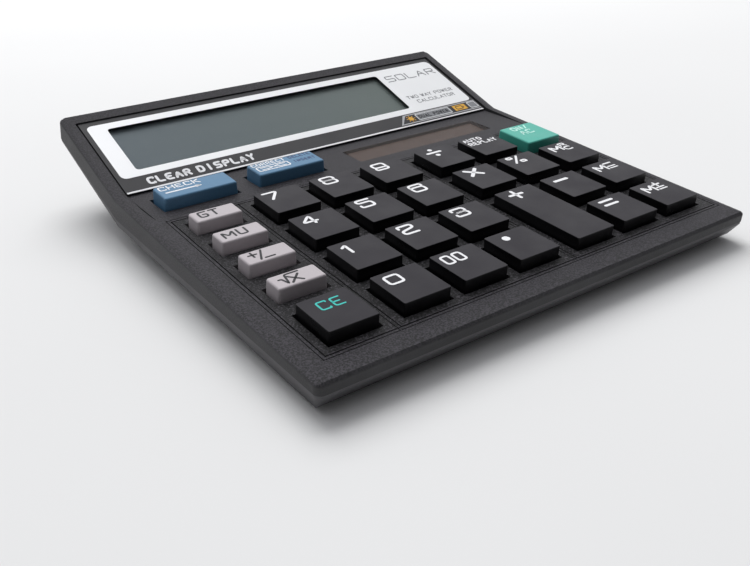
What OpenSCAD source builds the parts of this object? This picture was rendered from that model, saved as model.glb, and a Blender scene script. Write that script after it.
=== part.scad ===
// Solar and battery desk calculator with a tilted display and thirty sprung keys.
// The origin is the middle of the footprint on the desk, +X to the right, +Y to the back, +Z up.
// "Deck space" is the frame of the keypad deck: Z = 0 on the deck's top face and Y = 0 at the
// front edge of the front row of keys. "Hood space" starts at the bend and leans back with the display.

/* [Body] */
// Width of the casing
body_w = 153; // [150:1:156]
// Front face of the casing, ahead of the front row of keys
front_margin = 11.5; // [11:0.5:14]
// Plan radius of the casing's corners
corner_r = 2; // [1.5:0.5:5]
// Radius along the casing's top edges
edge_r = 0.6; // [0.4:0.1:1]
// Width of the shallow bevel along the left and right sides
bevel_w = 2; // [1:0.1:3]
// Drop of that bevel from the deck to the side face
bevel_d = 0.45; // [0.2:0.05:0.8]
// Slope of the keypad deck above the desk, in degrees
deck_tilt = 3; // [2.5:0.1:3.5]
// Thickness of the deck plate
deck_t = 2; // [1.8:0.1:2.2]
// Side wall thickness of both cases
wall = 2.4; // [2:0.1:2.6]

/* [Display hood] */
// Distance from the front row's front edge to the bend
bend_y = 98.8; // [98:0.1:99.5]
// Slope of the display above the deck, in degrees
hood_tilt = 15.3; // [15:0.1:16]
// Length of the hood from the bend to its back edge
hood_len = 44.1; // [43:0.1:45]
// Thickness of the hood's rim
hood_t = 6.8; // [6.5:0.1:7.5]
// Depth of the printed panel below the rim
panel_recess = 1; // [0.8:0.1:1.2]
// Length of the display window
window_w = 107.8; // [106:0.2:109]
// Height of the display window
window_h = 23.2; // [22:0.2:24]

/* [Keys] */
// Distance between neighbouring columns
key_pitch = 19; // [19:0.1:19.2]
// Distance between neighbouring rows
row_pitch = 19.2; // [19:0.1:19.3]
// Side of a standard square key
key_size = 14.4; // [14:0.1:14.5]
// Height of the key tops above the deck
key_rise = 3.4; // [3:0.1:4]
// Travel of every key
key_travel = 1.4; // [1:0.1:1.4]
// Gap between a key and its opening
key_gap = 0.7; // [0.5:0.05:0.8]

/* [Base] */
// Clearance of the base above the desk
foot_h = 1.5; // [1.2:0.1:2]
// Thickness of the base's floor
floor_t = 1.8; // [1.6:0.1:2]
// Diameter of the battery cell
cell_d = 10.5; // [10:0.1:10.5]
// Length of the battery cell's can
cell_l = 43.6; // [43:0.1:44]

/* [Hidden] */
eps = 0.01;
far = 200;
half_w = body_w / 2;

// Placing the deck on the desk
deck_lift = 10.3;
depth_mid = 65.4;

// Key grid, in deck space
function_x = -65.9;
digits_x = -44.5;
operators_x = 15.2;
function_w = 14.1;
light_d = 6.9;
light_y = 21.6;
light_pitch = 14.25;
wide_w = 23.6;
wide_d = 9.4;
wide_y = 82.8;
power_size = 15.2;
power_rise = 0.4;

// [name, left, front, width, depth, extra height, colour]
black = "#2b2a2d";
light = "#c8bfc3";
blue = "#4f7fa8";
green = "#2f9f88";
KEYS = concat(
    [for (i = [0:9]) let (col = i == 0 ? 0 : (i - 1) % 3, row = i == 0 ? 0 : ceil(i / 3))
        [str("key_", i), digits_x + col * key_pitch, row * row_pitch, key_size, key_size, 0, black]],
    [["key_double_zero", digits_x + key_pitch, 0, key_size, key_size, 0, black],
     ["key_point", digits_x + 2 * key_pitch, 0, key_size, key_size, 0, black],
     ["key_plus", operators_x, 0, key_size, key_size + row_pitch, 0, black],
     ["key_times", operators_x, 2 * row_pitch, key_size, key_size, 0, black],
     ["key_divide", operators_x, 3 * row_pitch, key_size, key_size, 0, black],
     ["key_equals", operators_x + key_pitch, 0, key_size, key_size, 0, black],
     ["key_minus", operators_x + key_pitch, row_pitch, key_size, key_size, 0, black],
     ["key_percent", operators_x + key_pitch, 2 * row_pitch, key_size, key_size, 0, black],
     ["key_replay", operators_x + key_pitch, 3 * row_pitch, key_size, key_size, 0, black],
     ["key_memory_plus", operators_x + 2 * key_pitch, 0, key_size, key_size, 0, black],
     ["key_memory_minus", operators_x + 2 * key_pitch, row_pitch, key_size, key_size, 0, black],
     ["key_memory_recall", operators_x + 2 * key_pitch, 2 * row_pitch, key_size, key_size, 0, black],
     ["key_power", operators_x + 2 * key_pitch - 0.1, 3 * row_pitch - 0.8, power_size, power_size,
         power_rise, green],
     ["key_clear_entry", function_x, 0, function_w, key_size, 0, black],
     ["key_root", function_x, light_y, function_w, light_d, 0, light],
     ["key_sign", function_x, light_y + light_pitch, function_w, light_d, 0, light],
     ["key_markup", function_x, light_y + 2 * light_pitch, function_w, light_d, 0, light],
     ["key_grand_total", function_x, light_y + 3 * light_pitch, function_w, light_d, 0, light],
     ["key_check", -67.1, wide_y, wide_w, wide_d, 0, blue],
     ["key_correct", -35.8, wide_y, wide_w, wide_d, 0, blue]]);

// Depths below the deck, in deck space
flange_gap = 0.2;
flange_t = 1;
flange_side = 1.4;
key_bottom = -deck_t - flange_gap - flange_t;
mat_t = 0.6;
dome_gap = 0.4;
mat_top = key_bottom - key_travel - dome_gap;
board_t = 1;
board_top = mat_top - mat_t;
board_bottom = board_top - board_t;
dome_r = 2.6;
mat_x = -68;
mat_y = -3;
mat_w = 138;
mat_d = 96.5;
board_d = 99;
ribbon_x = -20;
ribbon_w = 36;

// Casing joint line: deck space heights at the front and at the bend
split_front = -3.1;
split_bend = -7.2;
ramp_y = 80;
ramp_under_y = 95;
panel_half = 72.7;
panel_len = 39.4;
slot_w = 0.6;
slot_depth = 1.8;
groove = 0.4;
fine_groove = 0.25;
rib = 1;
zone_front = -3.4;
zone_back = 75.3;
ZONE_X = [-69.3, -48.1, 11.5, 72.1];

// Display stack, in hood space
window_x = -64.5;
window_s = 10.6;
window_corner = 1.2;
plate_t = 0.6;
under_hood = -panel_recess - deck_t;
lens_t = 0.75;
glass_t = 0.7;
reflector_t = 0.2;
holder_t = 1.2;
lens_top = -panel_recess - 0.05;
glass_top = lens_top - lens_t - 0.1;
rear_top = glass_top - glass_t - 0.02;
reflector_top = rear_top - glass_t;
holder_top = reflector_top - reflector_t;
glass_over = 3;
lens_back = 2.2;
holder_over = 5;
holder_back = 3.5;
holder_wall = 1.5;
holder_back_wall = 1.1;
holder_fit = 0.2;

// Solar window, in deck space
solar_x = 1.5;
solar_y = 82;
solar_w = 57.6;
solar_d = 11;
solar_recess = 0.4;
solar_lens_t = 0.9;
solar_cell_t = 1.1;
solar_cell_top = -solar_recess - solar_lens_t - 0.1;
solar_wire_top = solar_cell_top - solar_cell_t - 0.4;

// Screws
boss_r = 2;
case_screw_r = 0.9;
board_screw_r = 0.7;
thread_fit = 0.05;
screw_head_r = 1.7;
head_h = 1.1;
clamp_t = 0.9;
BOSS_XY = concat([for (x = [-48.15, 11.55], y = [12, 66]) [x, y]], [[-58, 101], [58, 101]]);
BOARD_XY = [for (x = [-48.15, 11.55], y = [28, 49]) [x, y]];
boss_end = -7;

// Base, in desk space
skirt = 0.8;
skirt_bend = 2;
// The base's edge starts this far inside the upper case, then is trimmed to the joint
joint_over = 0.5;
base_inset = 0.15;
base_half_front = 75.1;
base_half_bend = 73.2;
base_half_back = 60;
base_front = -73.4;
base_back = 64.4;
floor_top = foot_h + floor_t;
cell_y = 55.6;
cell_z = floor_top + cell_d / 2 + 0.3;
bay_half = 25;
bay_wall_t = 1.5;
bay_wall_h = 7;
contact_t = 0.5;
contact_w = 8.8;
contact_h = 7.8;
nub_l = 0.9;
cover_half = 24;
cover_front = 48;
cover_t = 1.6;
cover_gap = 0.2;
tongue = 1.2;
tongue_z = 1;
rail_w = 2.6;
rail_h = 1.4;
foot_seat = 0.8;
tower_h = 9;
tower_r = 3.4;
joint_gap = 0.1;
FEET = [[-58, -62], [58, -62], [-46, 57], [46, 57]];
foot_r = 4;

// ---- frames of reference ----

module in_deck() {
    translate([0, -depth_mid, deck_lift]) rotate([deck_tilt, 0, 0]) children();
}

module in_hood() {
    in_deck() translate([0, bend_y, 0]) rotate([hood_tilt, 0, 0]) children();
}

// A point of hood space [along, up] in deck space [y, z]
function hood_point(s, n) = [bend_y + s * cos(hood_tilt) - n * sin(hood_tilt),
                             s * sin(hood_tilt) + n * cos(hood_tilt)];

// A profile in Y and Z, drawn as a slab from x1 to x2
module slab(x1, x2, points) {
    translate([x1, 0, 0]) rotate([90, 0, 90]) linear_extrude(x2 - x1) polygon(points);
}

// A box given by its low corner and its size
module box(low, size) {
    translate(low) cube(size);
}

module rounded_plate(w, d, r, t) {
    linear_extrude(t) union() {
        translate([r, 0]) square([w - 2 * r, d]);
        translate([0, r]) square([w, d - 2 * r]);
        for (x = [r, w - r], y = [r, d - r]) translate([x, y]) circle(r, $fn = 32);
    }
}

// ---- casing shapes ----

// Points of the rounded edge below the bevel, from the side face (x = reach) inwards
function edge_arc(reach) = [for (a = [0:22.5:90])
    [reach - edge_r + edge_r * cos(a), edge_r * sin(a) - edge_r - bevel_d]];

// Round post with a rounded top edge: one corner of the casing, up to the bevel
module corner_post(bottom) {
    rotate_extrude($fn = 32)
        polygon(concat([[0, bottom], [corner_r, bottom]], edge_arc(corner_r), [[0, -bevel_d]]));
}

// Front or back end of the flat top between the side bevels
module top_strip(y) {
    box([bevel_w - half_w, y, -bevel_d], [2 * (half_w - bevel_w), eps, bevel_d]);
}

// Thin slice of the casing at the bend
module bend_slice(bottom) {
    arc = edge_arc(half_w);
    mirrored = [for (i = [len(arc) - 1:-1:0]) [-arc[i][0], arc[i][1]]];
    translate([0, bend_y, 0]) rotate([90, 0, 0]) linear_extrude(0.2)
        polygon(concat([[half_w, bottom]], arc, [[half_w - bevel_w, 0], [bevel_w - half_w, 0]], mirrored,
            [[-half_w, bottom]]));
}

module upper_solid() {
    hull() {
        for (x = [corner_r - half_w, half_w - corner_r])
            translate([x, corner_r - front_margin, 0]) corner_post(split_front);
        top_strip(bevel_d - front_margin + edge_r / 2);
        bend_slice(split_bend);
    }
    hull() {
        bend_slice(split_bend);
        translate([0, bend_y, 0]) rotate([hood_tilt, 0, 0]) {
            for (x = [corner_r - half_w, half_w - corner_r])
                translate([x, hood_len - corner_r, 0]) corner_post(-hood_t);
            top_strip(hood_len - edge_r);
        }
    }
}

module upper_cavity() {
    inner = half_w - wall;
    slab(-inner, inner, [[wall - front_margin, -far / 4], [wall - front_margin, -deck_t],
        [ramp_under_y, -deck_t], hood_point(0, under_hood), hood_point(hood_len - wall, under_hood),
        hood_point(hood_len - wall, -far / 4)]);
}

// The sunk panel: level with the deck at ramp_y, at full depth from the bend on
module panel_cut() {
    slab(-panel_half, panel_half, [[ramp_y, 0], hood_point(0, -panel_recess),
        hood_point(panel_len, -panel_recess), hood_point(panel_len, 10), [ramp_y, 10]]);
}

// Narrow gaps along both sides of the panel
module side_slots() {
    for (x = [-panel_half, panel_half - slot_w])
        slab(x, x + slot_w, [[ramp_y - 2, 0], hood_point(0, -slot_depth), hood_point(panel_len, -slot_depth),
            hood_point(panel_len, 10), [ramp_y - 2, 10]]);
}

module key_hole(k) {
    box([k[1] - key_gap, k[2] - key_gap, -far / 4], [k[3] + 2 * key_gap, k[4] + 2 * key_gap, far]);
}

// A groove around each key zone, and a finer one before it
module zone_grooves() {
    last = len(ZONE_X) - 2;
    for (i = [0:last]) {
        ring(ZONE_X[i], ZONE_X[i + 1] + groove, zone_front, zone_back, groove);
        fine_end = ZONE_X[i + 1] + fine_groove + (i == last ? rib : -rib);
        ring(ZONE_X[i] - rib, fine_end, zone_front - rib, zone_back + rib, fine_groove);
    }
}

module ring(x1, x2, y1, y2, w) {
    difference() {
        box([x1, y1, -w], [x2 - x1, y2 - y1, 2 * w]);
        box([x1 + w, y1 + w, -2 * w], [x2 - x1 - 2 * w, y2 - y1 - 2 * w, 4 * w]);
    }
}

module post(x, y, top, bottom, r, hole_r) {
    translate([x, y, bottom]) difference() {
        cylinder(h = top - bottom, r = r, $fn = 32);
        translate([0, 0, -eps]) cylinder(h = top - bottom - 0.6, r = hole_r, $fn = 24);
    }
}

module upper_case() {
    color("#3a393c") in_deck() {
        difference() {
            upper_solid();
            upper_cavity();
            panel_cut();
            side_slots();
            for (k = KEYS) key_hole(k);
            zone_grooves();
            box([solar_x, solar_y, -far / 4], [solar_w, solar_d, far]);
            translate([0, bend_y, 0]) rotate([hood_tilt, 0, 0])
                translate([-holder_over - holder_fit, -holder_over - holder_fit, 0])
                    translate([window_x, window_s, -far / 4]) cube([window_w + 2 * (holder_over + holder_fit),
                        window_h + holder_over + holder_back + 2 * holder_fit, far]);
        }
        for (p = BOSS_XY) post(p[0], p[1], -deck_t + eps, boss_end, boss_r, case_screw_r);
        for (p = BOARD_XY) post(p[0], p[1], -deck_t + eps, board_top, boss_r, board_screw_r);
    }
}

// Outer or inner shape of the base, drawn in from the outside by inset
module base_solid(inset, bottom) {
    side = half_w - inset;
    r = corner_r - inset / 2;
    hull() {
        in_deck() {
            for (x = [r - side, side - r]) translate([x, r + inset - front_margin, split_front - skirt])
                cylinder(h = skirt + joint_over, r = r, $fn = 32);
            box([-side, bend_y - 1, split_bend - skirt_bend], [2 * side, 1, skirt_bend + joint_over]);
        }
        translate([0, base_front + inset, bottom]) linear_extrude(eps) polygon([
            [inset - base_half_front, 0], [base_half_front - inset, 0],
            [base_half_bend - inset, 105], [inset - base_half_bend, 105]]);
    }
    hull() {
        in_deck() box([-side, bend_y - 1, split_bend - skirt_bend], [2 * side, 1, skirt_bend + joint_over]);
        in_hood() for (x = [r - side, side - r])
            translate([x, hood_len - inset - r, -hood_t - skirt])
                cylinder(h = skirt + joint_over, r = r, $fn = 32);
        translate([0, base_front, bottom]) linear_extrude(eps) polygon([
            [inset - base_half_bend, 104], [base_half_bend - inset, 104],
            [base_half_back - inset, base_back - base_front - inset],
            [inset - base_half_back, base_back - base_front - inset]]);
    }
}

module screw_well() {
    translate([0, 0, -far - clamp_t]) cylinder(h = far, r = screw_head_r + 0.3, $fn = 32);
    translate([0, 0, -far / 2]) cylinder(h = far, r = case_screw_r + 0.25, $fn = 24);
}

module lower_case() {
    color("#47464a") difference() {
        union() {
            difference() {
                base_solid(base_inset, foot_h);
                base_solid(wall, floor_top);
            }
            in_deck() for (p = BOSS_XY) translate([p[0], p[1], boss_end - tower_h - joint_gap])
                cylinder(h = tower_h, r = tower_r, $fn = 32);
            bay_walls();
        }
        in_deck() upper_solid();
        translate([-far, -far, foot_h - 2 * far]) cube(2 * far);
        in_deck() for (p = BOSS_XY) translate([p[0], p[1], boss_end]) screw_well();
        cover_opening();
        for (p = FEET) translate([p[0], p[1], foot_h - eps])
            cylinder(h = foot_seat + eps, r = foot_r + cover_gap, $fn = 48);
    }
}

// Walls behind the battery contacts and rails over the cover's tongues
module bay_walls() {
    for (s = [-1, 1]) {
        wall_x = s > 0 ? bay_half : -bay_half - bay_wall_t;
        box([wall_x, cell_y - 5, floor_top - eps], [bay_wall_t, 10, bay_wall_h]);
        rail_x = s > 0 ? cover_half + cover_gap : -cover_half - cover_gap - rail_w;
        box([rail_x, cover_front + 1, floor_top - eps], [rail_w, 14, rail_h]);
    }
}

module cover_opening() {
    side = cover_half + cover_gap;
    box([-side, cover_front - cover_gap, foot_h - eps], [2 * side, far, floor_t + 2 * eps]);
    box([-side - tongue, cover_front + 4, foot_h + tongue_z - cover_gap], [2 * (side + tongue), far, 1.2]);
}

module battery_cover() {
    color("#47464a") {
        box([-cover_half, cover_front, foot_h], [2 * cover_half, base_back - cover_front, cover_t]);
        for (x = [-cover_half - tongue, cover_half - eps])
            box([x, cover_front + 4.4, foot_h + tongue_z], [tongue + eps, 10, 0.8]);
    }
}

// ---- display ----

module display_faceplate() {
    color("#26262a") in_hood() difference() {
        translate([slot_w + 0.1 - panel_half, 0.4, -panel_recess])
            cube([2 * (panel_half - slot_w - 0.1), panel_len - 0.7, plate_t]);
        translate([window_x, window_s, -panel_recess - 1])
            rounded_plate(window_w, window_h, window_corner, 3);
    }
}

module display_lens() {
    color("#8fa09a", 0.5) in_hood()
        translate([window_x - glass_over, window_s - glass_over, lens_top - lens_t])
            cube([window_w + 2 * glass_over, window_h + glass_over + lens_back, lens_t]);
}

module glass_sheet(top, t, over_back) {
    in_hood() translate([window_x - 2, window_s - 2, top - t]) cube([window_w + 4, window_h + over_back, t]);
}

module lcd_front_glass() {
    color("#6f7d7d") glass_sheet(glass_top, glass_t, 3);
}

module lcd_rear_glass() {
    color("#66736f") glass_sheet(rear_top, glass_t - 0.05, 3.8);
}

module lcd_reflector() {
    color("#9aa39d") glass_sheet(reflector_top, reflector_t - 0.05, 3);
}

// Frame that holds the glass up against the lens
module lcd_holder() {
    depth = window_h + holder_over + holder_back;
    color("#2f2f33") in_hood() translate([window_x - holder_over, window_s - holder_over, 0]) difference() {
        translate([0, 0, holder_top - holder_t])
            cube([window_w + 2 * holder_over, depth, lens_top - 0.05 - holder_top + holder_t]);
        translate([holder_wall, holder_wall, holder_top])
            cube([window_w + 2 * (holder_over - holder_wall), depth - holder_wall - holder_back_wall, 10]);
        translate([12, 8, holder_top - 5]) cube([window_w - 14, depth - 16, 10]);
    }
}

// Flexible film from the rear glass over the back edge of the board
module lcd_ribbon() {
    film = [0, 0.15];
    path = [hood_point(17, holder_top - holder_t - 0.2), [106.1, -6.05], [97, -5.35], [91, board_top + 0.05]];
    back = [for (i = [len(path) - 1:-1:0]) path[i] + film];
    color("#b8862e") in_deck() slab(ribbon_x, ribbon_x + ribbon_w, concat(path, back));
}

module badge_strip() {
    color("#c9ccd0") in_hood() translate([0, 0, plate_t - panel_recess]) linear_extrude(0.3)
        polygon([[32.7, 1.5], [71.2, 1.5], [71.2, 6.8], [36.7, 6.8]]);
}

// ---- solar ----

module solar_window() {
    color("#6a5750", 0.6) in_deck()
        box([solar_x + 0.2, solar_y + 0.2, -solar_recess - solar_lens_t],
            [solar_w - 0.4, solar_d - 0.4, solar_lens_t]);
}

module solar_cell() {
    color("#4a3730") in_deck()
        box([solar_x + 0.6, solar_y + 0.5, solar_cell_top - solar_cell_t],
            [solar_w - 1.2, solar_d - 1, solar_cell_t]);
}

// A round wire through the given points, as one closed tube
module wire(points, r, sides = 8) {
    last = len(points) - 1;
    rings = [for (i = [0:last]) let (
        run = points[min(i + 1, last)] - points[max(i - 1, 0)],
        ahead = run / norm(run),
        across = cross(ahead, abs(ahead[2]) > 0.9 ? [1, 0, 0] : [0, 0, 1]),
        side = across / norm(across),
        up = cross(side, ahead))
        for (j = [0:sides - 1]) points[i] + r * (cos(360 * j / sides) * side + sin(360 * j / sides) * up)];
    walls = [for (i = [0:last - 1], j = [0:sides - 1]) let (a = i * sides, k = (j + 1) % sides)
        each [[a + j, a + sides + k, a + sides + j], [a + j, a + k, a + sides + k]]];
    start = [for (j = [sides - 1:-1:0]) j];
    end = [for (j = [0:sides - 1]) last * sides + j];
    polyhedron(rings, concat(walls, [start, end]));
}

module solar_wires() {
    for (x = [50, 54]) color(x == 50 ? "#b02a22" : "#222226") in_deck()
        wire([[x, 87, solar_wire_top], [x, 79.5, -4.4], [x, 79.5, board_top + 0.1]], 0.35);
}

// ---- keypad ----

// Cap with a flange under the deck and a plunger over the dome
module keycap(k) {
    top = key_rise + k[5];
    skin = 1.2;
    color(k[6]) in_deck() difference() {
        union() {
            box([k[1], k[2], key_bottom], [k[3], k[4], top - key_bottom]);
            box([k[1] - flange_side, k[2] - flange_side, key_bottom],
                [k[3] + 2 * flange_side, k[4] + 2 * flange_side, flange_t]);
        }
        difference() {
            box([k[1] + skin, k[2] + skin, key_bottom - 1],
                [k[3] - 2 * skin, k[4] - 2 * skin, top - skin - key_bottom + 1]);
            box([k[1] + k[3] / 2 - 2, k[2] + 1, key_bottom], [4, k[4] - 2, 20]);
        }
    }
}

module key_mat() {
    color("#8d8f93") in_deck() {
        difference() {
            box([mat_x, mat_y, mat_top - mat_t], [mat_w, mat_d, mat_t]);
            for (p = concat(BOSS_XY, BOARD_XY)) translate([p[0], p[1], mat_top - 5])
                cylinder(h = 10, r = boss_r + 0.4, $fn = 32);
            box([ribbon_x - 1, 91, mat_top - 5], [ribbon_w + 2, 10, 10]);
            box([46, 76, mat_top - 5], [12, 5, 10]);
        }
        for (k = KEYS) translate([k[1] + k[3] / 2, k[2] + k[4] / 2, mat_top - eps])
            cylinder(h = key_bottom - mat_top - 0.1, r1 = dome_r, r2 = 1.6, $fn = 24);
    }
}

// ---- electronics ----

module main_board() {
    color("#3f6b3a") in_deck() difference() {
        box([mat_x, mat_y, board_bottom], [mat_w, board_d, board_t]);
        for (p = BOSS_XY) translate([p[0], p[1], board_bottom - 1])
            cylinder(h = 5, r = boss_r + 0.4, $fn = 32);
        for (p = BOARD_XY) translate([p[0], p[1], board_bottom - 1])
            cylinder(h = 5, r = board_screw_r + 0.25, $fn = 24);
    }
}

module calculator_chip() {
    color("#151517") in_deck() translate([-20, 84, board_bottom]) rotate_extrude($fn = 48)
        polygon([[0, 0], [6.5, 0], [6, -0.8], [4.5, -1.4], [0, -1.7]]);
}

module capacitors() {
    r = 2;
    color("#26364f") in_deck() for (x = [20, 28])
        translate([x, 88, board_bottom - r - 0.05]) rotate([0, 90, 0]) cylinder(h = 6, r = r, $fn = 32);
}

module resistors() {
    r = 0.9;
    color("#c8b48a") in_deck() for (x = [-50, -42, 4, 10]) translate([x, 86, board_bottom - r - 0.1])
        rotate([0, 90, 0]) cylinder(h = 4, r = r, $fn = 24);
}

// ---- battery ----

module battery_cell() {
    start = bay_half - contact_t - 0.1 - nub_l - cell_l;
    color("#2c5f9e") translate([start, cell_y, cell_z]) rotate([0, 90, 0]) union() {
        cylinder(h = cell_l, r = cell_d / 2, $fn = 48);
        translate([0, 0, cell_l - eps]) cylinder(h = nub_l, r = 1.9, $fn = 32);
    }
}

module battery_spring() {
    turns = 4;
    steps = 14;
    wire_r = 0.3;
    rise = 2 * bay_half - contact_t - 0.1 - nub_l - cell_l - 0.1 - contact_t - 2 * wire_r - 0.05;
    coil = [for (i = [0:turns * steps]) let (a = 360 * i / steps, along = i / (turns * steps))
        let (r = 3.6 - along) [r * cos(a), r * sin(a), contact_t + wire_r - 0.1 + rise * along]];
    color("#c9ccd0") translate([0.1 - bay_half, cell_y, cell_z]) rotate([0, 90, 0]) {
        translate([-contact_h / 2, -contact_w / 2, 0]) cube([contact_h, contact_w, contact_t]);
        wire(coil, wire_r, 6);
    }
}

module battery_plate() {
    color("#c9ccd0") box([bay_half - contact_t - 0.05, cell_y - contact_w / 2, cell_z - contact_h / 2],
        [contact_t, contact_w, contact_h]);
}

module battery_wires() {
    x = bay_half - 0.3;
    for (s = [-1, 1]) color(s > 0 ? "#b02a22" : "#222226") in_deck()
        wire([[s * x, 116.2, -5.2], [s * x, 112, -5.6], [s * 28, 106, -6.4], [s * 30, 100, -5.6],
            [s * 30, 97, -5.05], [s * 30, 94.6, -5.1]], 0.45);
}

// ---- fasteners, feet and label ----

module screw(length, head_r, shank_r) {
    difference() {
        union() {
            translate([0, 0, -head_h]) cylinder(h = head_h, r = head_r, $fn = 32);
            translate([0, 0, -eps]) cylinder(h = length, r = shank_r, $fn = 24);
        }
        for (a = [0, 90]) rotate([0, 0, a]) translate([-1.1, -0.2, -head_h - 0.1]) cube([2.2, 0.4, 0.6]);
    }
}

module case_screws() {
    color("#9ea1a6") in_deck() for (p = BOSS_XY)
        translate([p[0], p[1], boss_end - clamp_t]) screw(4.4, screw_head_r, case_screw_r - thread_fit);
}

module board_screws() {
    color("#9ea1a6") in_deck() for (p = BOARD_XY)
        translate([p[0], p[1], board_bottom]) screw(3.6, 1.6, board_screw_r - thread_fit);
}

module rubber_feet() {
    color("#1b1b1d") for (p = FEET)
        translate([p[0], p[1], 0]) cylinder(h = foot_h + foot_seat - 0.1, r = foot_r, $fn = 48);
}

module rating_label() {
    color("#b9bbbd") box([-28, -44, foot_h - 0.15], [56, 30, 0.15]);
}

upper_case();
lower_case();
display_faceplate();
display_lens();
lcd_front_glass();
lcd_rear_glass();
lcd_reflector();
lcd_holder();
lcd_ribbon();
badge_strip();
solar_window();
solar_cell();
solar_wires();
key_mat();
main_board();
calculator_chip();
capacitors();
resistors();
battery_cell();
battery_spring();
battery_plate();
battery_wires();
battery_cover();
case_screws();
board_screws();
rubber_feet();
rating_label();
for (k = KEYS) keycap(k);
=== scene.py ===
"""Looks of the desk calculator: materials, keycaps, rubber domes, printing and studio."""
import math
import bpy
import bmesh
from mathutils import Matrix, Vector


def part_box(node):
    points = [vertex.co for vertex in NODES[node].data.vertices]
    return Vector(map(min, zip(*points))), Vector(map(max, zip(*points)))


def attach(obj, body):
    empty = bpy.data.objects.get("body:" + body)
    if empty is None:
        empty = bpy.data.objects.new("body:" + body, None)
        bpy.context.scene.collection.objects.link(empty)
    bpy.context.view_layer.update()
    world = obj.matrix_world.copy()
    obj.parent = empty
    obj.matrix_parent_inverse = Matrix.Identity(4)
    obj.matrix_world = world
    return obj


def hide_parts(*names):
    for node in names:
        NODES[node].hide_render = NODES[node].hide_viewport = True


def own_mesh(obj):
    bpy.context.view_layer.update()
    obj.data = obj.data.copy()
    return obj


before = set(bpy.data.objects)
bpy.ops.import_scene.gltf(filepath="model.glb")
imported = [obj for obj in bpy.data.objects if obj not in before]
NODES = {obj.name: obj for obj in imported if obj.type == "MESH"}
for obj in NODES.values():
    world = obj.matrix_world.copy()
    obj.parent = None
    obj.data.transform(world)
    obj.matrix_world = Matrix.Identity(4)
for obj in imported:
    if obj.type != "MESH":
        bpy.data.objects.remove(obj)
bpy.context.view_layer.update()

# ---- places: millimetres on the sloping key deck, and on the display hood behind its bend ----

MM = 0.001
SCALE = Matrix.Scale(MM, 4)
DECK_START = (0, -0.0654, 0.0103)
DECK_SLOPE = math.radians(3)
HOOD_START = (0, 98.8, 0)
HOOD_SLOPE = math.radians(15.3)
DECK = Matrix.Translation(DECK_START) @ Matrix.Rotation(DECK_SLOPE, 4, "X") @ SCALE
HOOD = DECK @ Matrix.Translation(HOOD_START) @ Matrix.Rotation(HOOD_SLOPE, 4, "X")
DECK_NORMAL = (DECK.to_3x3() @ Vector((0, 0, 1))).normalized()
# Half the thickness of a printed layer
INK = 0.03
# Faces that meet at more than this many degrees have a sharp edge between them
SHARP_ANGLE = 32
# Corners nearer than this are one corner
JOIN_DISTANCE = 0.002 * MM


def local_box(node, place):
    """Lowest and highest corner of a CAD node in millimetres, in the axes of DECK, HOOD or plain SCALE."""
    inverse = place.inverted()
    points = [inverse @ v.co for v in NODES[node].data.vertices]
    low = Vector([min(p[i] for p in points) for i in range(3)])
    high = Vector([max(p[i] for p in points) for i in range(3)])
    return low, high


# ---- materials ----


def new_material(name):
    material = bpy.data.materials.new(name)
    material.use_nodes = True
    tree = material.node_tree
    return material, tree, tree.nodes["Principled BSDF"]


def place_vector(tree):
    return tree.nodes.new("ShaderNodeTexCoord").outputs["Object"]


def noise(tree, size, detail=2.0, roughness=0.5):
    """Noise whose features are about size millimetres across."""
    node = tree.nodes.new("ShaderNodeTexNoise")
    node.inputs["Scale"].default_value = 1 / (size * MM)
    node.inputs["Detail"].default_value = detail
    node.inputs["Roughness"].default_value = roughness
    tree.links.new(place_vector(tree), node.inputs["Vector"])
    return node.outputs["Fac"]


def ramp(tree, value, stops):
    """Colour ramp; stops are (position, colour)."""
    node = tree.nodes.new("ShaderNodeValToRGB")
    elements = node.color_ramp.elements
    while len(elements) < len(stops):
        elements.new(0.5)
    for element, (position, colour) in zip(elements, stops):
        element.position = position
        element.color = (*colour, 1)
    tree.links.new(value, node.inputs["Fac"])
    return node.outputs["Color"]


def remap(tree, value, low, high, start=0.0, end=1.0):
    node = tree.nodes.new("ShaderNodeMapRange")
    node.inputs["From Min"].default_value = start
    node.inputs["From Max"].default_value = end
    node.inputs["To Min"].default_value = low
    node.inputs["To Max"].default_value = high
    tree.links.new(value, node.inputs["Value"])
    return node.outputs["Result"]


def feed(tree, value, socket):
    """Links another node's output to a socket, or sets a plain value on it."""
    if isinstance(value, bpy.types.NodeSocket):
        tree.links.new(value, socket)
    else:
        socket.default_value = value


def maths(tree, operation, *terms):
    node = tree.nodes.new("ShaderNodeMath")
    node.operation = operation
    for socket, value in zip(node.inputs, terms):
        feed(tree, value, socket)
    return node.outputs["Value"]


def weighted(tree, first, second, share):
    """Average of two values, with the given share of the first."""
    rest = maths(tree, "MULTIPLY", second, 1 - share)
    return maths(tree, "MULTIPLY_ADD", first, share, rest)


def mixed(tree, factor, first, second):
    """Colour that goes from the first to the second as factor goes from 0 to 1."""
    node = tree.nodes.new("ShaderNodeMix")
    node.data_type = "RGBA"
    tree.links.new(factor, node.inputs["Factor"])
    feed(tree, first, node.inputs["A"])
    feed(tree, second, node.inputs["B"])
    return node.outputs["Result"]


def position(tree, axis):
    """Distance along an axis of the shared frame, in metres."""
    split = tree.nodes.new("ShaderNodeSeparateXYZ")
    tree.links.new(place_vector(tree), split.inputs["Vector"])
    return split.outputs[axis]


def inside(tree, value, low, high):
    """1 where value lies between low and high, 0 elsewhere."""
    above = maths(tree, "GREATER_THAN", value, low)
    below = maths(tree, "LESS_THAN", value, high)
    return maths(tree, "MULTIPLY", above, below)


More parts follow.
